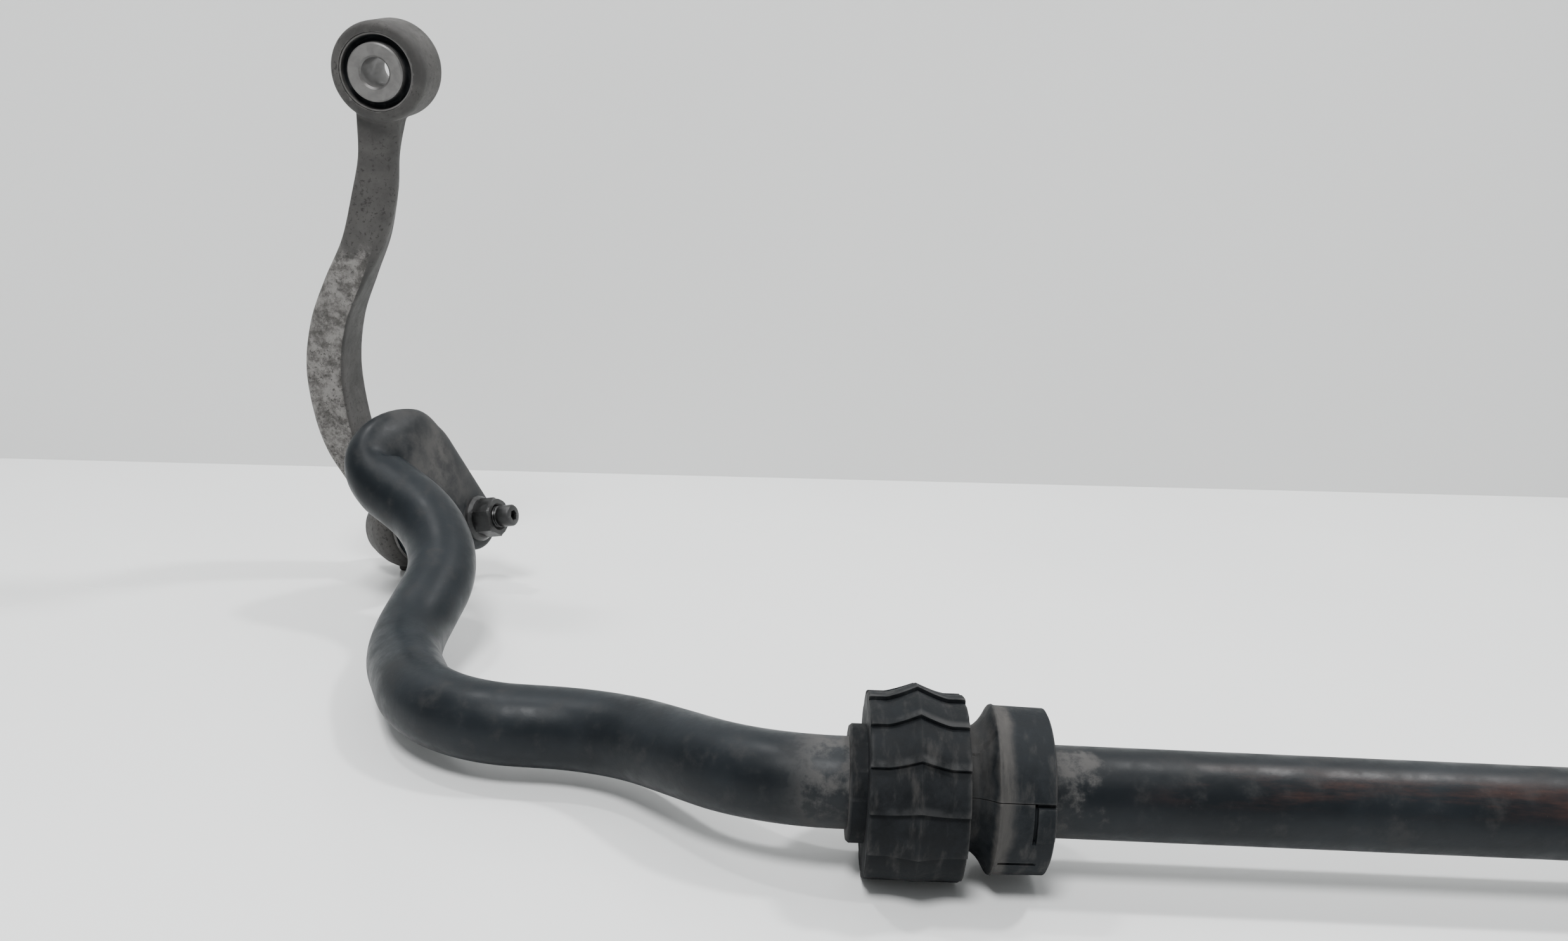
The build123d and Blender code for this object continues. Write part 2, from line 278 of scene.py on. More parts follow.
# ---- material helpers -----------------------------------------------------------
class Paint:
    """A material's node tree, with short calls for the nodes used here."""

    def __init__(self, name, roughness=0.5, metallic=0.0, specular=0.5):
        self.material = bpy.data.materials.new(name)
        self.material.use_nodes = True
        self.tree = self.material.node_tree
        self.shader = self.tree.nodes["Principled BSDF"]
        self.shader.inputs["Roughness"].default_value = roughness
        self.shader.inputs["Metallic"].default_value = metallic
        self.shader.inputs["Specular IOR Level"].default_value = specular
        self.where = self.node("TexCoord").outputs["Object"]

    def node(self, kind, inputs=None, **settings):
        made = self.tree.nodes.new(f"ShaderNode{kind}")
        for name, value in settings.items():
            setattr(made, name, value)
        for name, value in (inputs or {}).items():
            if isinstance(value, bpy.types.NodeSocket):
                self.tree.links.new(value, made.inputs[name])
            else:
                made.inputs[name].default_value = value
        return made

    def noise(self, scale, detail=6.0, rough=0.6, stretch=(1, 1, 1), warp=0.0):
        """Grain: scale is how many lumps there are in a metre."""
        place = self.node("Mapping", {"Vector": self.where, "Scale": stretch}).outputs[0]
        inputs = {"Vector": place, "Scale": scale, "Detail": detail, "Roughness": rough,
                  "Distortion": warp}
        return self.node("TexNoise", inputs).outputs["Fac"]

    def ramp(self, value, low, high, start=0.0, end=1.0):
        """Value smoothly brought from low..high to start..end."""
        inputs = {"Value": value, "From Min": low, "From Max": high, "To Min": start, "To Max": end}
        return self.node("MapRange", inputs, interpolation_type="SMOOTHSTEP").outputs[0]

    def math(self, operation, first, second=0.0):
        return self.node("Math", {0: first, 1: second}, operation=operation).outputs[0]

    def mix(self, amount, first, second, kind="MIX"):
        inputs = {"Fac": amount, "Color1": first, "Color2": second}
        return self.node("MixRGB", inputs, blend_type=kind).outputs[0]

    def part(self, vector, letter):
        return self.node("SeparateXYZ", {0: vector}).outputs[letter]

    def place(self, letter):
        """One of the three numbers stored at each point."""
        return self.part(self.node("Attribute", attribute_name="place").outputs["Vector"], letter)

    def use(self, colour, roughness=None, bumps=()):
        """Link the colour, the roughness and the bumps (height, depth in mm) to the shader."""
        self.tree.links.new(colour, self.shader.inputs["Base Color"])
        if roughness is not None:
            self.tree.links.new(roughness, self.shader.inputs["Roughness"])
        normal = None
        for height, depth in bumps:
            inputs = {"Height": height, "Distance": depth * MM, "Strength": 1.0}
            if normal:
                inputs["Normal"] = normal
            normal = self.node("Bump", inputs).outputs[0]
        if normal:
            self.tree.links.new(normal, self.shader.inputs["Normal"])
        return self.material


def grey(level, warmth=0.0):
    """A grey from a screen value of 0 to 255, warmer above 0 and bluer below."""
    linear = (level / 255) ** 2.2
    return (linear * (1 + warmth), linear, linear * (1 - warmth), 1.0)


def bar_paint():
    """Satin black paint: dusty beside the bush and ring, rubbed brown along the top."""
    paint = Paint("bar_paint", specular=0.16)
    across = paint.math("ABSOLUTE", paint.part(paint.where, "X"))
    grime = paint.noise(90, 8, 0.65)
    speck = paint.noise(900, 3, 0.6)
    haze = paint.noise(14, 4, 0.55)
    colour = paint.mix(paint.ramp(haze, 0.35, 0.7), grey(24, -0.32), grey(38, -0.22))
    colour = paint.mix(paint.ramp(grime, 0.5, 0.72, 0, 0.5), colour, grey(50, 0.0))
    # Brown rust bloom on the upper front of the straight length.
    straight = paint.ramp(across, 0.235, 0.19)
    height = paint.part(paint.where, "Z")
    belt = paint.math("MULTIPLY", paint.ramp(height, 0.034, 0.041),
                      paint.ramp(height, 0.0478, 0.044))
    streak = paint.noise(60, 7, 0.7, stretch=(0.18, 1, 1))
    belt = paint.math("MULTIPLY", belt, straight)
    rust = paint.math("MULTIPLY", paint.ramp(streak, 0.4, 0.65), belt)
    colour = paint.mix(paint.math("MULTIPLY", rust, 0.75), colour, (0.055, 0.026, 0.02, 1))
    # Road dust caught on both sides of the bush and ring.
    inner, outer = -RING_X * MM - 0.0285, (-BUSH.x + BUSH_W / 2 + BUSH_COLLAR_W) * MM
    edge = paint.math("MULTIPLY", paint.math("SUBTRACT", grime, 0.5), 0.05)
    shifted = paint.math("ADD", across, edge)
    outside = paint.math("MULTIPLY", paint.ramp(shifted, outer + 0.027, outer + 0.012),
                         paint.ramp(across, outer - 0.004, outer))
    inside = paint.math("MULTIPLY", paint.ramp(shifted, inner - 0.018, inner - 0.006),
                        paint.ramp(across, inner + 0.004, inner))
    upper = paint.ramp(height, 0.012, 0.034, 0.25, 1.0)
    dust = paint.math("MULTIPLY", paint.math("MAXIMUM", outside, inside), upper)
    dust = paint.math("MULTIPLY", dust, paint.ramp(grime, 0.42, 0.6, 0.1, 1.0))
    colour = paint.mix(paint.math("MULTIPLY", dust, 0.65), colour, grey(84, 0.03))
    # Brown dust on the flattened end.
    end = paint.math("MULTIPLY", paint.place("Z"), paint.ramp(grime, 0.36, 0.62, 0.3, 1.0))
    colour = paint.mix(paint.math("MULTIPLY", end, 0.75), colour, grey(84, 0.04))
    chips = paint.ramp(speck, 0.72, 0.8)
    colour = paint.mix(paint.math("MULTIPLY", chips, 0.3), colour, grey(96, 0.05))
    dull = paint.math("MAXIMUM", dust, end)
    rough = paint.ramp(grime, 0.3, 0.75, 0.36, 0.56)
    rough = paint.math("ADD", rough, paint.math("MULTIPLY", dull, 0.3))
    return paint.use(colour, rough, [(haze, 0.25), (grime, 0.12), (speck, 0.02)])


def rubber(name, base, dusty):
    """Matt moulded rubber or plastic with dust in its hollows and rubbed edges."""
    paint = Paint(name, specular=0.13)
    grime = paint.noise(120, 8, 0.7)
    fine = paint.noise(1400, 3, 0.6)
    drag = paint.noise(70, 5, 0.6, stretch=(3, 1, 1))
    edges = paint.node("NewGeometry").outputs["Pointiness"]
    worn = paint.math("MULTIPLY", paint.ramp(edges, 0.52, 0.6),
                      paint.ramp(grime, 0.35, 0.6, 0.3, 1))
    colour = paint.mix(paint.ramp(grime, 0.35, 0.7), grey(base, -0.26), grey(base + 14, -0.14))
    dragged = paint.math("MULTIPLY", paint.ramp(drag, 0.5, 0.75), dusty)
    colour = paint.mix(dragged, colour, grey(70, 0.05))
    colour = paint.mix(paint.math("MULTIPLY", worn, 0.4), colour, grey(84, 0.04))
    return paint, colour, paint.ramp(grime, 0.3, 0.7, 0.55, 0.85), [(grime, 0.15), (fine, 0.03)]


def bush_rubber():
    """Moulded rubber with patches of dust along the ledges of the bush's plates."""
    paint, colour, rough, bumps = rubber("bush_rubber", 20, 0.35)
    ledge = paint.math("MULTIPLY", paint.ramp(paint.place("X"), 0.8, 0.93),
                       paint.ramp(paint.place("Z"), -0.1, 0.5))
    patchy = paint.ramp(paint.noise(60, 6, 0.65), 0.42, 0.62, 0.05, 1.0)
    dusty = paint.math("MULTIPLY", paint.math("MULTIPLY", ledge, patchy), 0.4)
    colour = paint.mix(dusty, colour, grey(72, 0.0))
    return paint.use(colour, rough, bumps)


def ring_plastic():
    """Moulded plastic with a band of dust behind the ring's rim and some on its cone."""
    paint, colour, rough, bumps = rubber("ring_plastic", 26, 0.45)
    across = paint.math("ABSOLUTE", paint.part(paint.where, "X"))
    rim = -(RING_X + RING_RIM) * MM
    wander = paint.noise(50, 5, 0.6)
    wander = paint.math("MULTIPLY", paint.math("SUBTRACT", wander, 0.5), 0.008)
    shifted = paint.math("ADD", across, wander)
    band = paint.math("MULTIPLY", paint.ramp(shifted, rim + 0.001, rim - 0.001),
                      paint.ramp(shifted, rim - 0.0065, rim - 0.003))
    upper = paint.ramp(paint.part(paint.where, "Z"), 0.02, 0.05)
    cone = paint.math("MULTIPLY", paint.ramp(shifted, rim, rim + 0.003), upper)
    band = paint.math("MAXIMUM", band, paint.math("MULTIPLY", cone, 0.55))
    streaks = paint.ramp(paint.noise(160, 5, 0.6, stretch=(1, 0.15, 0.15)), 0.3, 0.6, 0.2, 1.0)
    colour = paint.mix(paint.math("MULTIPLY", paint.math("MULTIPLY", band, streaks), 0.5),
                       colour, grey(84, 0.07))
    return paint.use(colour, rough, bumps)


def forged_alloy():
    """Blasted light alloy under road grime, rubbed lighter on sharp edges: a lighter mottled tone is
    painted light on the faces turned to the front and outboard, and a darker stained tone is painted
    shade on the inboard side.
    """
    paint = Paint("forged_alloy", metallic=0.25, specular=0.3)
    blotch = paint.noise(150, 10, 0.78)
    fleck = paint.noise(520, 6, 0.7)
    stain = paint.noise(35, 5, 0.6)
    # Two copies of the one alloy: a darker stained tone for painted shade and a lighter mottled tone
    # for painted light.
    dark = paint.mix(paint.ramp(stain, 0.3, 0.7), grey(56, 0.03), grey(76, 0.04))
    light = paint.mix(paint.ramp(blotch, 0.38, 0.62), grey(70, 0.06), grey(122, 0.04))
    # Painted light: how far a face turns to the front and outboard, stored with the link, picks the
    # lighter tone, and the rest keep the painted shade.
    lit_faces = paint.math("ADD", paint.place("X"),
                        paint.math("MULTIPLY", paint.math("SUBTRACT", blotch, 0.5), 0.9))
    lit_faces = paint.ramp(lit_faces, 0.35, 0.75)
    colour = paint.mix(lit_faces, dark, light)
    pits = paint.math("MULTIPLY", paint.ramp(fleck, 0.55, 0.62), paint.ramp(stain, 0.3, 0.55))
    colour = paint.mix(paint.math("MULTIPLY", pits, 0.7), colour, grey(42, 0.04))
    edges = paint.node("NewGeometry").outputs["Pointiness"]
    rubbed = paint.math("MULTIPLY", paint.ramp(edges, 0.51, 0.56), paint.ramp(blotch, 0.4, 0.6))
    colour = paint.mix(paint.math("MULTIPLY", rubbed, 0.45), colour, grey(120, 0.03))
    rough = paint.ramp(blotch, 0.3, 0.7, 0.6, 0.78)
    return paint.use(colour, rough, [(blotch, 0.18), (fleck, 0.08)])


def turned_steel(name, base, warmth, metallic=0.5, rough=0.42, worn=0.5):
    """Machined steel with faint stains and fine turning marks."""
    paint = Paint(name, metallic=metallic)
    stain = paint.noise(160, 8, 0.65, warp=0.4)
    fine = paint.noise(1600, 4, 0.6)
    lighter = grey(base + 24, warmth * 0.8)
    colour = paint.mix(paint.ramp(stain, 0.35, 0.68), grey(base, warmth), lighter)
    spots = paint.ramp(stain, 0.66, 0.76)
    colour = paint.mix(paint.math("MULTIPLY", spots, 0.55), colour, grey(base * 0.6, warmth))
    edges = paint.node("NewGeometry").outputs["Pointiness"]
    colour = paint.mix(paint.ramp(edges, 0.53, 0.6, 0.0, worn), colour, grey(base + 70, 0.01))
    roughness = paint.ramp(stain, 0.3, 0.7, rough - 0.1, rough + 0.15)
    return paint.use(colour, roughness, [(stain, 0.05), (fine, 0.02)])


def pale_plastic():
    """Natural moulded plastic of the ball seat."""
    paint = Paint("seat_plastic", specular=0.4)
    cloud = paint.noise(200, 4, 0.5)
    colour = paint.mix(paint.ramp(cloud, 0.3, 0.7), (0.6, 0.57, 0.48, 1), (0.72, 0.69, 0.6, 1))
    return paint.use(colour, paint.ramp(cloud, 0.3, 0.7, 0.4, 0.55), [(cloud, 0.02)])


# ---- the bar --------------------------------------------------------------------
def rounded_route(corners, radii, step):
    """Points along straight runs joined by tangent arcs, no further apart than a step."""
    marks = [corners[0]]
    for before, corner, after, radius in zip(corners, corners[1:], corners[2:], radii):
        into = (corner - before).normalized()
        out = (after - corner).normalized()
        turn = into.angle(out)
        centre = corner + (out - into).normalized() * (radius / cos(turn / 2))
        start = corner - into * (radius * tan(turn / 2)) - centre
        count = ceil(radius * turn / step)
        for index in range(count + 1):
            angle = turn * index / count
            marks.append(centre + start * cos(angle) + into * radius * sin(angle))
    marks.append(corners[-1])
    points = [marks[0]]
    for mark in marks[1:]:
        gap = mark - points[-1]
        pieces = ceil(gap.length / (1.5 * step))
        points += [points[-1] + gap * ((i + 1) / pieces) for i in range(pieces)]
    return points


def section(place, along, across, half_width, half_thick, power, count=64):
    """Points round a section: an ellipse at power 2, nearly a flat bar at power 4."""
    up = along.cross(across)
    ring = []
    for step in range(count):
        out, rise = cos(2 * pi * step / count), sin(2 * pi * step / count)
        width = half_width * copysign(abs(out) ** (2 / power), out)
        height = half_thick * copysign(abs(rise) ** (2 / power), rise)
        ring.append(place + across * width + up * height)
    return ring


def carried(across, before, after):
    """Carry a section's width direction from one heading to the next without twist."""
    turn = across.dot(after) / (1 + before.dot(after))
    return (across - (before + after) * turn).normalized()


def eased(values, index, part):
    """A smooth curve through a list of numbers or vectors, between index and the next."""
    first, last = max(index - 1, 0), min(index + 2, len(values) - 1)
    a, b, c, d = values[first], values[index], values[index + 1], values[last]
    return (b * 2 + (c - a) * part + (a * 2 - b * 5 + c * 4 - d) * part ** 2
            + (b * 3 - c * 3 + d - a) * part ** 3) * 0.5


def paddle_half_width(back):
    """Half width so far behind the stud hole: a tip circle and a wide one, joined straight."""
    lean = asin((PADDLE_NECK_R - PADDLE_TIP_R) / PADDLE_DISC)
    if back < -PADDLE_TIP_R * sin(lean):
        return sqrt(max(0.0, PADDLE_TIP_R ** 2 - back ** 2))
    if back < PADDLE_DISC - PADDLE_NECK_R * sin(lean):
        return PADDLE_TIP_R / cos(lean) + back * tan(lean)
    return sqrt(PADDLE_NECK_R ** 2 - (back - PADDLE_DISC) ** 2)


def make_bar():
    """The bent bar with its forged ends: the left half, mirrored and then bored."""
    corners = [Vector((0, BUSH.y, BUSH.z))] + [Vector((x, y + BUSH.y, z)) for x, y, z in ARM]
    hump = Vector((HUMP[0], HUMP[1] + BUSH.y, HUMP[2]))
    arm_in = (hump - corners[-1]).normalized()
    tube_end = corners[-1] + arm_in * TUBE_RUN
    paddle_in = LEVEL_DIR * cos(PADDLE_DROP) - STUD_UP * sin(PADDLE_DROP)
    hole = BALL + STUD_DIR * (SEAT_FACE + PADDLE_T / 2)
    flat_start = hole - paddle_in * PADDLE_L
    crown = flat_start - paddle_in * CROWN_RUN
    over = (crown - hump).normalized()
    # Stations of the forged end: place, heading, half width, half thickness, squareness.
    forging = [
        (tube_end, arm_in, BAR_R, BAR_R, 2),
        (tube_end + arm_in * 14, arm_in, 16.6, 15.6, 2),
        (hump + over * 5 - arm_in * 6, (arm_in + over).normalized(), 20.5, 12.5, 2.1),
        (crown, (over * 0.6 + paddle_in).normalized(), 28, 8.6, 2.4),
        (flat_start, paddle_in, PADDLE_NECK_R, PADDLE_T / 2, 4),
    ]
    widths = [STUD_DIR.cross(paddle_in).normalized()]
    for nearer, further in zip(forging[-2::-1], forging[:0:-1]):
        widths.insert(0, carried(widths[0], further[1], nearer[1]))
    rings, flatness = [], []

    def add_ring(place, along, across, half_width, half_thick, power, flat):
        rings.append(section(place, along, across, half_width, half_thick, power))
        flatness.append(flat)

    # The paddle, from its round tip back to the neck.
    for step in range(1, 25):
        angle = pi / 2 * step / 24
        out = PADDLE_TIP_R * cos(angle)
        thick = PADDLE_T / 2 * (1 - PADDLE_TIP_THIN * cos(angle) ** 6)
        add_ring(hole + paddle_in * out, paddle_in, widths[-1], paddle_half_width(-out),
                 thick, 4, TIP_DUST)
    for step in range(1, 24):
        back = PADDLE_L * step / 24
        dust = TIP_DUST + (1 - TIP_DUST) * back / PADDLE_L
        add_ring(hole - paddle_in * back, paddle_in, widths[-1], paddle_half_width(back),
                 PADDLE_T / 2, 4, dust)
    # The forged end, eased through its stations.
    columns = [list(column) for column in zip(*forging)]
    for index in range(len(forging) - 2, -1, -1):
        for step in range(12, 0, -1):
            part = step / 12
            place, along, half_width, half_thick, power = (eased(c, index, part) for c in columns)
            along = along.normalized()
            across = eased(widths, index, part)
            across = (across - along * across.dot(along)).normalized()
            flat = max(0.0, (index + part - 2) / 2)
            add_ring(place, along, across, half_width, half_thick, max(power, 2), flat)
    # The round tube, from the forged end to the middle.
    route = rounded_route(corners + [tube_end], ARM_RADII, 3.0)[::-1]
    across, heading = widths[0], arm_in
    for index, place in enumerate(route):
        after = route[min(index + 1, len(route) - 1)]
        before = route[max(index - 1, 0)]
        along = (before - after).normalized()
        if index == len(route) - 1:
            along = Vector((-1, 0, 0))
        across = carried(across, heading, along)
        heading = along
        add_ring(place, along, across, BAR_R, BAR_R, 2, 0)
    points, faces = skin(rings, close_start=True, close_end=False)
    half = new_object("bar_half", points, faces)
    layer = half.data.attributes.new("place", "FLOAT_VECTOR", "POINT")
    places = [value for flat in flatness for _ in range(64) for value in (0, 0, flat)]
    layer.data.foreach_set("vector", places)
    mirror = half.modifiers.new("mirror", "MIRROR")
    mirror.merge_threshold = 0.00005
    settle(half)
    weld(half)
    for flip in (1, -1):
        turn = Matrix.Diagonal((flip, 1, 1))
        middle, axis, side = turn @ hole, turn @ STUD_DIR, turn @ LEVEL_DIR
        cut(half, rod("hole", middle - axis * PADDLE_T, axis, side, STUD_HOLE_R, 2 * PADDLE_T))
        for way in (1, -1):
            face = middle + axis * (way * PADDLE_T / 2)
            cut(half, rod("spot_face", face, axis * way, side, SPOT_FACE_R, SPOT_FACE_H))
    shade(half, 40)
    dress(half, "bar", bar_paint())


# ---- bush and stop ring ---------------------------------------------------------
def round_bar(x, radius, angle):
    """A point at a world angle round the bar: 0 is the front and 90 degrees the top."""
    return Vector((x, BUSH.y - radius * cos(angle), BUSH.z + radius * sin(angle)))


def split_collar(name, stations, angles, inner_r, radius_at, angle_at=None):
    """A collar open at its first and last angle; radius_at(x, angle) shapes its outside."""
    count = len(angles)
    rings = []
    for x in stations:
        ring = []
        for angle in angles:
            turned_angle = angle_at(x, angle) if angle_at else angle
            ring.append(round_bar(x, radius_at(x, angle), turned_angle))
        rings.append(ring)
    points, faces = skin(rings, False, False, closed=False)
    first_inner = len(points)
    for x in (stations[0], stations[-1]):
        points += [round_bar(x, inner_r, angle) for angle in angles]
    last_outer = (len(stations) - 1) * count
    last_inner = first_inner + count
    for step in range(count - 1):
        faces.append((step, first_inner + step, first_inner + step + 1, step + 1))
        faces.append((last_outer + step, last_outer + step + 1,
                      last_inner + step + 1, last_inner + step))
        faces.append((first_inner + step, last_inner + step,
                      last_inner + step + 1, first_inner + step + 1))
    for step in (0, count - 1):
        wall = [row * count + step for row in range(len(stations))]
        faces.append(tuple(wall + [last_inner + step, first_inner + step]))
    made = new_object(name, points, faces)
    weld(made)
    return made


def make_bush():
    """The bush, wrapped in plates whose edges meet in chevrons along its middle."""
    spacing = 360 / BUSH_RIBS
    half = BUSH_W / 2
    margin = 6.0                            # flat part at each end of a rib
    left = BUSH.x - half
    slit = 1.1                              # half the slit's opening, in degrees

    def chevron(x):
        near = max(0.0, 1 - abs(x - BUSH.x) / (half - margin))
        return near ** 1.25

    def ridge(x, angle):
        """The middle ridge, which dies away towards the foot."""
        return chevron(x) * min(1.0, max(0.0, (sin(angle) + 0.85) * 2.2))

    def rib_part(angle):
        """0 just under a step's edge, rising to 1 at the lower edge of the same plate."""
        return ((BUSH_FIRST_STEP - degrees(angle)) / spacing) % 1.0

    def radius_at(x, angle):
        if x < left:
            return BUSH_COLLAR_R - (0.8 if x < left - BUSH_COLLAR_W + 0.3 else 0)
        part = rib_part(angle)
        crowned = BUSH_END_R + (BUSH_RIDGE_R - BUSH_END_R) * ridge(x, angle)
        radius = crowned - RIB_STEP * (1 - part) ** 2.2
        at_end = min(abs(x - left), abs(x - left - BUSH_W))
        if at_end < 0.2:
            rough = noise.noise(Vector((x * 3, degrees(angle) * 0.35, 1.0)))
            radius += 0.55 * rough - 0.35
        return min(radius, ground_reach(angle))

    def ground_reach(angle):
        """How far the surface may reach before it meets the floor."""
        return BUSH.z / -sin(angle) if sin(angle) < 0 else 99.0

    def angle_at(x, angle):
        if x < left:
            return angle
        from_slit = 180 - abs(degrees(angle))
        clear = min(1.0, max(0.0, (from_slit - 8) / 20))
        return angle + RIB_RISE * ridge(x, angle) * clear

    start = 180 + slit - 360                # just past the slit, going up round the front
    stop = 180 - slit
    marks = {start, stop}
    edge = BUSH_FIRST_STEP - spacing * BUSH_RIBS
    for rib in range(2 * BUSH_RIBS):
        base = edge + spacing * rib
        for part in (0.0, 0.01, 0.1, 0.2, 0.32, 0.45, 0.6, 0.75, 0.88, 0.99):
            mark = base + spacing * part
            if start + 0.3 < mark < stop - 0.3:
                marks.add(mark)
    angles = [radians(mark) for mark in sorted(marks)]
    stations = [left - BUSH_COLLAR_W, left - BUSH_COLLAR_W + 1.0, left - 0.02, left]
    stations += [left + 0.5] + [left + 2 + (BUSH_W - 4) * i / 22 for i in range(23)]
    stations += [left + BUSH_W - 0.5, left + BUSH_W]
    bush = split_collar("bush", stations, angles, BAR_R + RUN, radius_at, angle_at)

    def find(point, normal):
        angle = atan2(point.z - BUSH.z, BUSH.y - point.y)
        lifted = angle - RIB_RISE * ridge(point.x, angle)
        return rib_part(lifted - 0.0005), chevron(point.x), sin(angle)

    note_places(bush, find)
    shade(bush, 26)
    dress_pair(bush, "bush", bush_rubber())


def make_ring():
    """The stop ring's two halves: a cone, a rim, and a body with a latch."""
    profile = [
        (0, 20.2), (0.6, 21.0), (2.2, 21.2), (4, 22.1), (5.6, 23.6), (7, 25.4), (8.2, 27.4),
        (8.8, 28.5), (9.3, 29.1), (9.9, 29.3), (10.5, 29.0), (11.5, 28.9),
    ]
    width = 28.5
    latch_x, latch_w = 21.5, 1.2            # the slot beside the latch tongue
    groove_x = (10.6, 22.7)

    def plain_radius(x):
        along = x - RING_X
        for (x0, r0), (x1, r1) in zip(profile, profile[1:]):
            if along <= x1:
                return r0 + (r1 - r0) * (along - x0) / (x1 - x0)
        taper = 28.9 - 0.35 * (along - 11.5) / (width - 11.5)
        return taper - (1.1 if along > width - 0.3 else 0)

    def radius_at(x, angle):
        along, turn = x - RING_X, degrees(angle)
        radius = plain_radius(x)
        if abs(along - latch_x) < latch_w / 2 and -11 < turn < 18:
            radius -= 1.8
        if abs(turn + 31) < 1.3 and groove_x[0] < along < groove_x[1]:
            radius -= 0.9
        if along > latch_x and 15.6 < turn < 18:
            radius -= 1.6
        if 61 < turn - (along - 5) * 1.2 < 63.5 and 1 < along < 9:
            radius -= 0.8
        if along > latch_x + latch_w / 2 and -9 < turn < 15:
            radius += 0.35
        return radius

    columns = [x for x, r in profile]
    columns += [12.5 + i for i in range(8)]
    for edge in (latch_x - latch_w / 2, latch_x + latch_w / 2):
        columns += [edge - 0.04, edge + 0.04]
    columns += [groove_x[0] - 0.04, groove_x[0] + 0.04]
    columns += [23.5, 24.5, 25.5, 26.5, 27.5, width - 0.6, width]
    stations = [RING_X + x for x in sorted(set(columns))]
    gap = 0.3
    for half, start, stop in (
        ("upper", RING_PARTING + gap, RING_PARTING + 180 - gap),
        ("lower", RING_PARTING - 180 + gap, RING_PARTING - gap),
    ):
        marks = [start + (stop - start) * i / 90 for i in range(91)]
        for edge in (-29.7, -32.3, -11, 15.6, -9, 15):
            if start < edge < stop:
                marks += [edge - 0.1, edge + 0.1]
        angles = [radians(mark) for mark in sorted(marks)]
        piece = split_collar(f"ring_{half}", stations, angles, BAR_R + RUN, radius_at)
        shade(piece, 30)
        dress_pair(piece, f"stop_ring_{half}", RING_MATERIAL)


# ---- link -----------------------------------------------------------------------
def make_link():
    """The forged arm, its eye and its ball housing, joined by a remesh and then bored."""
    # Height over the ball, sideways offset, width, depth, turn, and the radii of the
    # front corners on the outboard and inboard side.
    sections = [
        (12, -8, 18, 25, 0, 5, 4), (30, -17.5, 20, 28, 0, 4, 3), (46, -27, 20.5, 28, 0, 4, 2.4),
        (66, -32.7, 21, 29, 0, 4, 2), (92, -35.4, 21.3, 29, 0, 4, 2), (118, -31.7, 21, 28, 0, 4, 2),
        (141, -23.3, 22, 27, -4, 5, 3.5), (163, -14, 22.6, 23, -12, 5, 7),
        (187, -8.4, 22.5, 19, -20, 1.5, 7), (207, -5.4, 19.5, 17, -16, 1.5, 6),
        (228, -3, 22, 20, 0, 4, 4),
    ]
    columns = list(zip(*sections))
    rings = []
    for index in range(len(sections) - 1):
        for step in range(9 if index == len(sections) - 2 else 8):
            values = [eased(column, index, step / 8) for column in columns]
            height, side, width, depth, turn, outer_r, inner_r = values
            centre = BALL + LINK_UP * height + LINK_SIDE * side
            spin = radians(turn)
            fore = LINK_FORE * cos(spin) + LINK_SIDE * sin(spin)
            beside = LINK_SIDE * cos(spin) - LINK_FORE * sin(spin)
            ring = []
            corners = [(1, 1, 5), (-1, 1, 5), (-1, -1, outer_r), (1, -1, inner_r)]
            for quarter, (sx, sy, radius) in enumerate(corners):
                radius = min(radius, width / 2 - 0.5, depth / 2 - 0.5)
                for part in range(7):
                    angle = pi / 2 * (quarter + part / 6)
                    out = sx * (width / 2 - radius) + radius * cos(angle)
                    back = sy * (depth / 2 - radius) + radius * sin(angle)
                    ring.append(centre + beside * out + fore * back)
            rings.append(ring)
    link = new_object("link", *skin(rings))
    weld(link)
    half = EYE_W / 2
    eye = turned("eye", [
        (-half, 0), (-half, EYE_R - 3), (-half + 0.8, EYE_R - 1.2), (-half + 2.5, EYE_R - 0.2),
        (-half + 4, EYE_R), (half - 4, EYE_R), (half - 2.5, EYE_R - 0.2), (half - 0.8, EYE_R - 1.2),
        (half, EYE_R - 3), (half, 0),
    ], EYE, LINK_FORE, LINK_SIDE)
    housing = turned("housing", [
        (-16, 0), (-16, 12.8), (-15.2, 13.8), (-13, 15.6), (-10, 18), (-5, 21.2),
        (0, HOUSING_R - 0.8), (4.5, 23.2), (7.2, 21.2), (8, 19.4), (11.3, 18.6), (11.3, 0),
    ], BALL, STUD_DIR, LEVEL_DIR)
    foot = turned("foot", [(0, 0), (0, 2.3), (0.6, 3), (8, 3.6), (8, 0)],
                  Vector((BALL.x, BALL.y, 0)), Vector((0, 0, 1)), Vector((1, 0, 0)), steps=24)
    bpy.ops.object.select_all(action="DESELECT")
    for part in (link, eye, housing, foot):
        part.select_set(True)
    bpy.context.view_layer.objects.active = link
    bpy.ops.object.join()
    remesh = link.modifiers.new("remesh", "REMESH")
    remesh.mode = "VOXEL"
    remesh.voxel_size = LINK_VOXEL * MM
    smooth = link.modifiers.new("smooth", "SMOOTH")
    smooth.factor, smooth.iterations = 0.5, 7
    settle(link)
    cut(link, rod("bore", EYE - LINK_FORE * EYE_W, LINK_FORE, LINK_SIDE, SHELL_R, 2 * EYE_W, 128))
    for start, radius, length in ((-18, 14, 4.5), (-14, POCKET_R, 22), (7, 10.5, 8)):
        cut(link, rod("pocket", BALL + STUD_DIR * start, STUD_DIR, LEVEL_DIR, radius, length, 72))
    # Painted light: faces of the lower arm turned this way, to the front and outboard, are stored as
    # lit so that the alloy paints them lighter, and the rest stay darker as painted shade.
    front = (LINK_FORE * -0.85 - LINK_SIDE * 0.53).normalized()

    def find(point, normal):
        height = (point - BALL).dot(LINK_UP)
        facing = normal.dot(front)
        lower = min(1.0, max(0.0, (172 - height) / 30)) * min(1.0, max(0.0, (height - 8) / 20))
        amount = min(1.0, max(0.0, (facing - 0.25) / 0.35)) * lower
        return amount, height / 250, facing

    note_places(link, find)
    shade(link, 32)
    dress_pair(link, "link_body", forged_alloy())


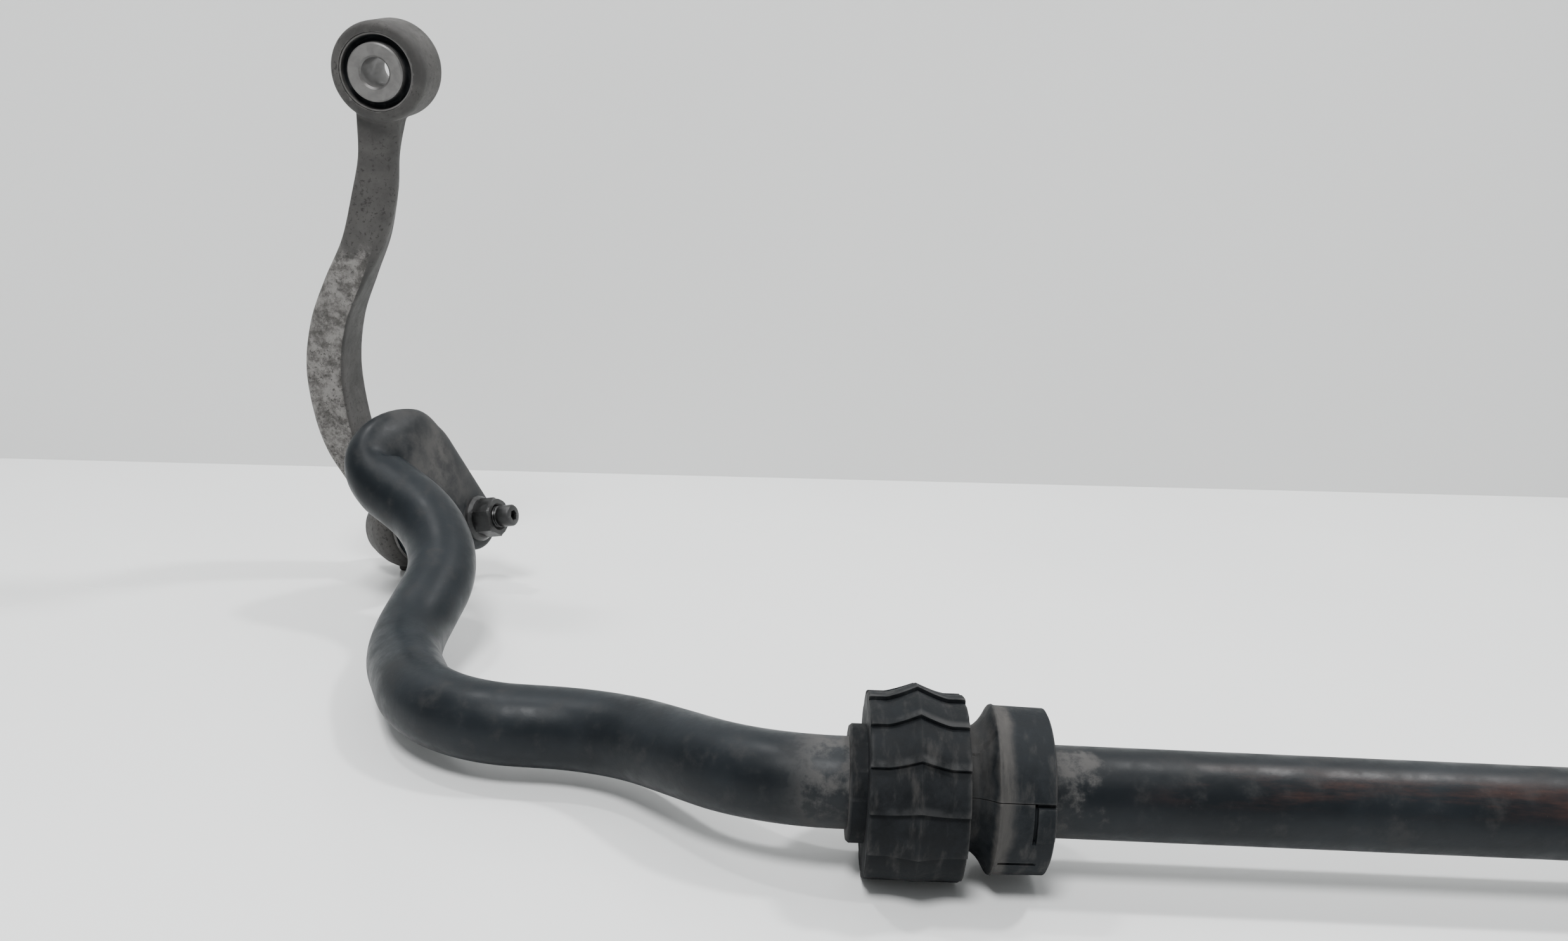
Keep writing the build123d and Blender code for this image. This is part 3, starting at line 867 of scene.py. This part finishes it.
def make_eye():
    """The eye's bush: outer shell, rubber and inner sleeve."""
    half = EYE_W / 2 - 0.5
    inner = SHELL_R - SHELL_T
    shell = turned("shell", [
        (-half, inner + 0.2), (-half, SHELL_R - 0.3), (-half + 0.3, SHELL_R - 0.02),
        (half - 0.3, SHELL_R - 0.02), (half, SHELL_R - 0.3), (half, inner + 0.2),
        (half - 0.5, inner), (-half + 0.5, inner),
    ], EYE, LINK_FORE, LINK_SIDE, 128)
    shade(shell, 30)
    dress_pair(shell, "eye_shell", DULL_STEEL)
    face, dip = EYE_W / 2 - 1.5, 3.2         # the rubber's face sinks between its two sleeves
    bow = [(0.0, 0.0), (0.12, 0.55), (0.3, 0.9), (0.5, 1.0), (0.7, 0.9), (0.88, 0.55), (1.0, 0.0)]
    inside, outside = SLEEVE_R + RUN, inner - 0.02
    front = [(-face + dip * sag, inside + (outside - inside) * part) for part, sag in bow]
    back = [(-along, radius) for along, radius in reversed(front)]
    rubber_piece = turned("eye_rubber", front + back, EYE, LINK_FORE, LINK_SIDE, 128)
    shade(rubber_piece, 40)
    dress_pair(rubber_piece, "eye_rubber", BUSH_MATERIAL)
    half = SLEEVE_W / 2
    sleeve = turned("sleeve", [
        (-half, BOLT_R + 1.0), (-half, SLEEVE_R - 0.7), (-half + 0.7, SLEEVE_R),
        (half - 0.7, SLEEVE_R), (half, SLEEVE_R - 0.7), (half, BOLT_R + 1.0),
        (half - 1.0, BOLT_R), (-half + 1.0, BOLT_R),
    ], EYE, LINK_FORE, LINK_SIDE, 128)
    shade(sleeve, 25)
    dress_pair(sleeve, "eye_sleeve", STEEL)


# ---- ball joint -----------------------------------------------------------------
def make_stud():
    """The ball stud, with its thread and the key recess in its end."""
    thread_start = SEAT_FACE + PADDLE_T
    profile = []
    neck_start = atan2(STUD_NECK_R, sqrt(BALL_R ** 2 - STUD_NECK_R ** 2))
    for step in range(22):
        angle = pi - (pi - neck_start) * step / 21
        profile.append((BALL_R * cos(angle), max(BALL_R * sin(angle), 0.0)))
    profile += [(14, STUD_NECK_R), (22, 8), (34, 8), (34, 11.2), (34.4, 11.5),
                (SEAT_FACE, 11.5), (SEAT_FACE, THREAD_R)]
    fine = 0.19                             # between the rings that carry the thread
    count = int((THREAD_END - thread_start) / fine)
    profile += [(thread_start + fine * i, THREAD_R) for i in range(count)]
    profile += [(THREAD_END, THREAD_R - THREAD_DEPTH), (THREAD_END + 0.5, THREAD_R - 0.1),
                (STUD_END - 0.9, THREAD_R - 0.1), (STUD_END - 0.3, THREAD_R - 0.5),
                (STUD_END, THREAD_R - 1.1), (STUD_END, 0.0)]

    def threaded(along, radius, angle):
        if thread_start < along < THREAD_END and radius > 5:
            turn = (along / THREAD_PITCH - angle / (2 * pi)) % 1.0
            return radius - THREAD_DEPTH * abs(2 * turn - 1)
        return radius

    stud = turned("stud", profile, BALL, STUD_DIR, LEVEL_DIR, 64, threaded)
    key_floor = BALL + STUD_DIR * (STUD_END - KEY_DEPTH)
    key = rod("key", key_floor, STUD_DIR, LEVEL_DIR, KEY_R, KEY_DEPTH + 3, 6)
    cut(stud, key)
    shade(stud, 35)
    dress_pair(stud, "ball_stud", PLATED)


def make_nut():
    """The flanged lock nut, with its corners bevelled at the top."""
    base = SEAT_FACE + PADDLE_T
    top = base + NUT_H

    def hexagon(along, radius, angle):
        if radius <= NUT_AF / 2:
            return radius
        flat = (angle + pi / 6) % (pi / 3) - pi / 6
        across = NUT_AF / 2 / cos(flat)
        bevel = NUT_AF / 2 + 0.25 + max(0.0, (top - along)) * 1.75
        return min(across, bevel) if along > base + 3.2 else radius

    profile = [(base, THREAD_R + 0.4), (base, NUT_FLANGE_R - 0.3), (base + 0.4, NUT_FLANGE_R),
               (base + 1.4, NUT_FLANGE_R - 0.1), (base + 2.4, 11.6), (base + 3.1, 11.0)]
    profile += [(base + 3.3 + (NUT_H - 3.3) * i / 12, 11.0) for i in range(13)]
    profile += [(top, 7.4), (top - 1.3, THREAD_R + 0.1), (base + 1.0, THREAD_R + 0.1)]
    nut = turned("nut", profile, BALL, STUD_DIR, LEVEL_DIR, 144, hexagon)
    shade(nut, 25)
    dress_pair(nut, "lock_nut", PLATED)


def make_hidden():
    """The seat, cap, boot and boot rings round the ball."""
    cup = BALL_R + 0.04
    seat_profile = []
    for i in range(21):
        angle = pi - 2.1 * i / 20
        seat_profile.append((cup * cos(angle), max(cup * sin(angle), 0)))
    seat_profile += [(7.9, 10.4), (7.98, 11.5), (7.5, POCKET_R - 0.02), (-11.8, POCKET_R - 0.02),
                     (-12.2, POCKET_R - 0.5), (-12.2, 0)]
    seat = turned("seat", seat_profile, BALL, STUD_DIR, LEVEL_DIR)
    shade(seat, 30)
    dress_pair(seat, "ball_seat", pale_plastic())
    cap = turned("cap", [
        (-15.6, 0), (-15.7, 6), (-15.4, 9), (-14.9, 10.5), (-15.2, 12), (-15.4, 13.6),
        (-15.2, 13.9), (-13.6, 13.9), (-13.6, 0),
    ], BALL, STUD_DIR, LEVEL_DIR)
    shade(cap, 30)
    dress_pair(cap, "housing_cap", STEEL)
    outside = [
        (7.9, 18.75), (7.7, 19.6), (8.0, 20.2), (10.8, 20.2), (12, 20.5), (13.4, 20.4),
        (15.3, 20.1), (17, 19.4), (18.6, 18.3), (20, 16.9), (21, 15.6), (21.9, 14.9), (23, 14.6),
        (24.2, 13.8), (25.2, 12.3), (26.2, 10.6), (27, 9.8), (28, 9.7), (30.6, 9.7),
        (32.2, 10.2), (33.4, 10.9),
    ]
    inside = [
        (33.5, 10.5), (33.5, 8.15), (26.4, 8.15), (25.2, 9.2), (24, 10.9), (22.6, 12.0),
        (21.2, 13.0), (19.6, 14.9), (18, 16.6), (16.2, 18), (13.6, 18.7), (11.6, 18.7),
    ]
    boot = turned("boot", outside + inside, BALL, STUD_DIR, LEVEL_DIR)
    shade(boot, 40)
    ends = (BALL + STUD_DIR * BOOT_BENDS_FROM, BALL + STUD_DIR * BOOT_BENDS_TO)
    boot_paint, colour, rough, bumps = rubber("boot_rubber", 38, 0.25)
    dress_pair(boot, "dust_boot", boot_paint.use(colour, rough, bumps), ends)
    for name, along, radius in (("boot_ring_large", 9.2, 20.75), ("boot_ring_small", 29, 10.25)):
        wire = []
        for i in range(12):
            angle = 2 * pi * i / 12
            wire.append((along + 0.9 * cos(angle), radius + 0.45 * sin(angle)))
        ring = turned(name, wire, BALL, STUD_DIR, LEVEL_DIR)
        shade(ring, 60)
        dress_pair(ring, name, STEEL)


BUSH_MATERIAL = bush_rubber()
RING_MATERIAL = ring_plastic()
STEEL = turned_steel("bare_steel", 74, 0.04)
DULL_STEEL = turned_steel("dull_steel", 58, 0.05, metallic=0.2, rough=0.6, worn=0.25)
PLATED = turned_steel("plated_steel", 20, -0.04, metallic=0.2, rough=0.4, worn=0.22)
make_bar()
make_bush()
make_ring()
make_link()
make_eye()
make_stud()
make_nut()
make_hidden()


# ---- floor, wall, light and camera ------------------------------------------------
def stage_plane(name, corners, material):
    mesh = bpy.data.meshes.new(name)
    mesh.from_pydata(corners, [], [(0, 1, 2, 3)])
    plane = bpy.data.objects.new(name, mesh)
    bpy.context.scene.collection.objects.link(plane)
    mesh.materials.append(material)


def floor_material():
    paint = Paint("floor", specular=0.5)
    cloud = paint.noise(3, 3, 0.5)
    colour = paint.mix(paint.ramp(cloud, 0.3, 0.7), (0.80, 0.81, 0.81, 1), (0.83, 0.84, 0.835, 1))
    return paint.use(colour, paint.ramp(cloud, 0.3, 0.7, 0.22, 0.28))


def wall_material():
    """Pale wall that shows from the front only, so that other views see past it."""
    paint = Paint("wall", roughness=0.9)
    cloud = paint.noise(2, 3, 0.5)
    paint.use(paint.mix(paint.ramp(cloud, 0.3, 0.7), (0.70, 0.705, 0.70, 1), (0.73, 0.735, 0.73, 1)))
    clear = paint.node("BsdfTransparent").outputs[0]
    behind = paint.node("NewGeometry").outputs["Backfacing"]
    both = paint.node("MixShader", {0: behind, 1: paint.shader.outputs[0], 2: clear}).outputs[0]
    paint.tree.links.new(both, paint.tree.nodes["Material Output"].inputs["Surface"])
    return paint.material


WALL_START, WALL_END = Vector((-0.905, 0.350, 0)), Vector((0.253, 0.434, 0))
along_wall = (WALL_END - WALL_START).normalized()
wall_left, wall_right = WALL_START - along_wall * 3, WALL_END + along_wall * 3
rise = Vector((0, 0, 2.5))
stage_plane("floor", [(-5, -5, 0), (5, -5, 0), (5, 5, 0), (-5, 5, 0)], floor_material())
stage_plane("wall", [wall_left, wall_right, wall_right + rise, wall_left + rise], wall_material())


def area_light(name, place, target, size, power, colour=(1, 1, 1)):
    data = bpy.data.lights.new(name, "AREA")
    data.shape = "DISK"
    data.size = size
    data.energy = power
    data.color = colour
    lamp = bpy.data.objects.new(name, data)
    lamp.location = place
    lamp.rotation_euler = (Vector(target) - Vector(place)).to_track_quat("-Z", "Y").to_euler()
    bpy.context.scene.collection.objects.link(lamp)


area_light("back_left", (-1.0, 0.35, 1.75), (-0.4, 0, 0), 0.22, 25)
area_light("back_right", (0.55, 0.3, 1.8), (-0.3, 0, 0), 0.22, 27)
area_light("front", (-0.6, -1.0, 1.9), (-0.3, 0, 0), 0.6, 48)

world = bpy.data.worlds.new("studio")
world.use_nodes = True
world.node_tree.nodes["Background"].inputs["Color"].default_value = (0.93, 0.95, 0.96, 1)
world.node_tree.nodes["Background"].inputs["Strength"].default_value = 0.48
bpy.context.scene.world = world

CAMERA_PLACE = (-0.350, -0.57734, 0.25596)
CAMERA_PITCH = 14.5                        # down from level
CAMERA_ROLL = 2.5
CAMERA_LENS = 31.17                        # millimetres, on a sensor 36 mm wide
camera_data = bpy.data.cameras.new("camera")
camera_data.sensor_width = 36.0
camera_data.lens = CAMERA_LENS
camera_data.clip_start = 0.01
camera = bpy.data.objects.new("camera", camera_data)
pitch = Matrix.Rotation(radians(90 - CAMERA_PITCH), 4, "X")
roll = Matrix.Rotation(radians(CAMERA_ROLL), 4, "Z")
camera.matrix_world = Matrix.Translation(CAMERA_PLACE) @ (pitch @ roll)
bpy.context.scene.collection.objects.link(camera)
bpy.context.scene.camera = camera
